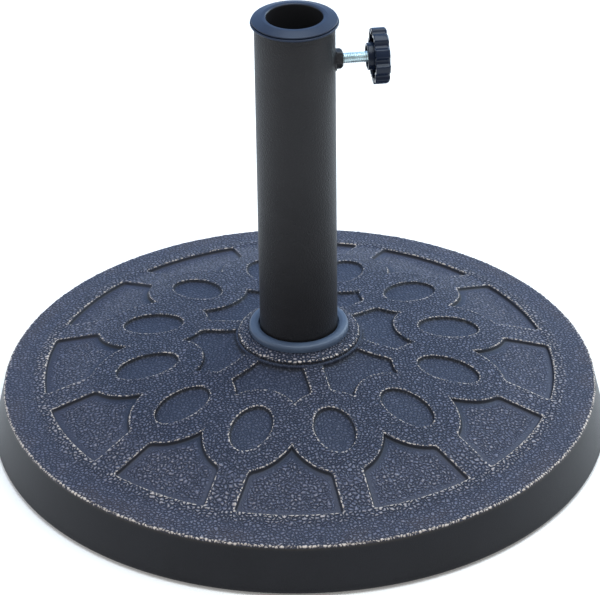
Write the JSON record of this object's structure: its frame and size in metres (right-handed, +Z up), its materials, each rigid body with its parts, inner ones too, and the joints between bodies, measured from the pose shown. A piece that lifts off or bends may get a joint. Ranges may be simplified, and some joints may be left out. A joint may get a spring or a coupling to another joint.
{
  "type": "parasol base",
  "caption": "Round weighted parasol base with an ornamental cast top, a steel tube for the pole and a clamp knob on a threaded screw.",
  "frame": {"origin": "centre of the footprint on the ground, on the tube's axis", "axes": "+Z up along the tube, +X along the clamp screw towards the knob"},
  "size_m": [0.45, 0.45, 0.328],
  "materials": {
    "cast_resin": "pebbled navy cast resin with bronze wear on its edges",
    "concrete": "rough grey concrete",
    "foot_rubber": "matt rubber",
    "collar_plastic": "satin slate-blue plastic",
    "tube_powder_coat": "black powder coat with a fine orange peel",
    "zinc_steel": "zinc-plated steel",
    "screw_zinc": "bright blue-passivated zinc",
    "cap_plastic": "satin moulded plastic",
    "pad_nylon": "natural nylon",
    "knob_plastic": "satin moulded plastic"
  },
  "bodies": {
    "base": {"base_shell": "cast_resin", "ballast_core": "concrete", "foot_1": "foot_rubber", "foot_2": "foot_rubber", "foot_3": "foot_rubber", "foot_4": "foot_rubber", "foot_5": "foot_rubber", "foot_6": "foot_rubber", "collar_ring": "collar_plastic", "pole_tube": "tube_powder_coat", "tube_foot_plate": "tube_powder_coat", "foot_plate_nut": "zinc_steel", "anchor_bolt": "zinc_steel", "anchor_washer": "zinc_steel", "anchor_spring_washer": "zinc_steel", "pole_guide": "cap_plastic", "top_cap": "cap_plastic", "weld_nut": "tube_powder_coat"},
    "pad": {"clamp_pad": "pad_nylon"},
    "knob": {"clamp_screw": "screw_zinc", "knob_body": "knob_plastic", "knob_cover": "knob_plastic"}
  },
  "joints": [
    {"name": "screw_travel", "type": "slide", "parent": "base", "child": "pad", "axis": [1, 0, 0], "range_m": [-0.01626, 0.00126]},
    {"name": "knob_turn", "type": "hinge", "parent": "pad", "child": "knob", "pos_m": [0.0502, 0, 0.293], "axis": [1, 0, 0], "range_deg": [-4680, 360]}
  ],
  "couplings": [
    {"joint": "screw_travel", "follows": "knob_turn", "m_per_rad": 0.00019894}
  ]
}
